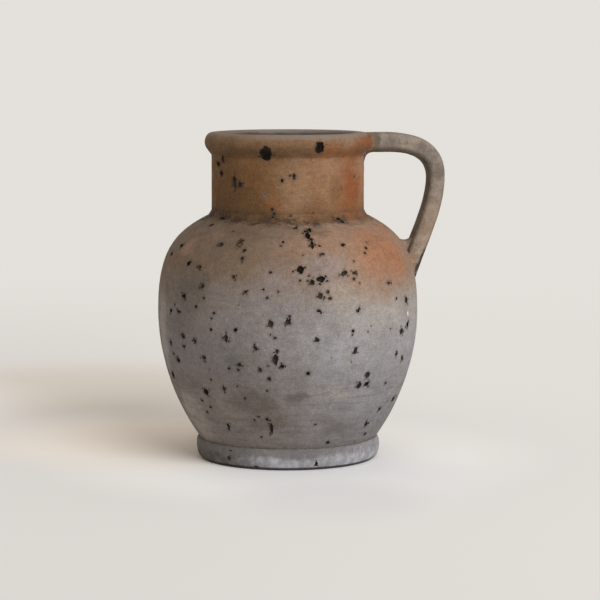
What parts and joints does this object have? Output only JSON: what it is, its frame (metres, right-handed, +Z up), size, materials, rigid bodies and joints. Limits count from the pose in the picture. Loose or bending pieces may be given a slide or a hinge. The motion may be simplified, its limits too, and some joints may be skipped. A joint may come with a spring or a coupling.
{
  "type": "storage jar",
  "caption": "Hand-made clay storage jar with a full belly, straight neck, rolled rim, rolled foot and one strap handle from rim to shoulder.",
  "frame": {"origin": "the middle of the base's underside, on the surface that the jar stands on", "axes": "+Z up along the jar's axis, +X towards the handle"},
  "size_m": [0.2569, 0.232, 0.29],
  "materials": {
    "body_clay": "unglazed, smoked grey, pitted",
    "foot_clay": "unglazed, pale ash grey, worn",
    "shoulder_clay": "unglazed, grey passing into terracotta, pitted",
    "neck_clay": "unglazed terracotta with ash on the lip",
    "handle_clay": "unglazed, ash grey over terracotta"
  },
  "bodies": {
    "root": {"base_disc": "body_clay", "foot_roll": "foot_clay", "lower_wall": "body_clay", "shoulder_wall": "shoulder_clay", "neck_seam_coil": "shoulder_clay", "neck_collar": "neck_clay", "rim_roll": "neck_clay", "handle_strap": "handle_clay", "handle_rim_wad": "handle_clay", "handle_shoulder_wad": "handle_clay"}
  },
  "joints": []
}
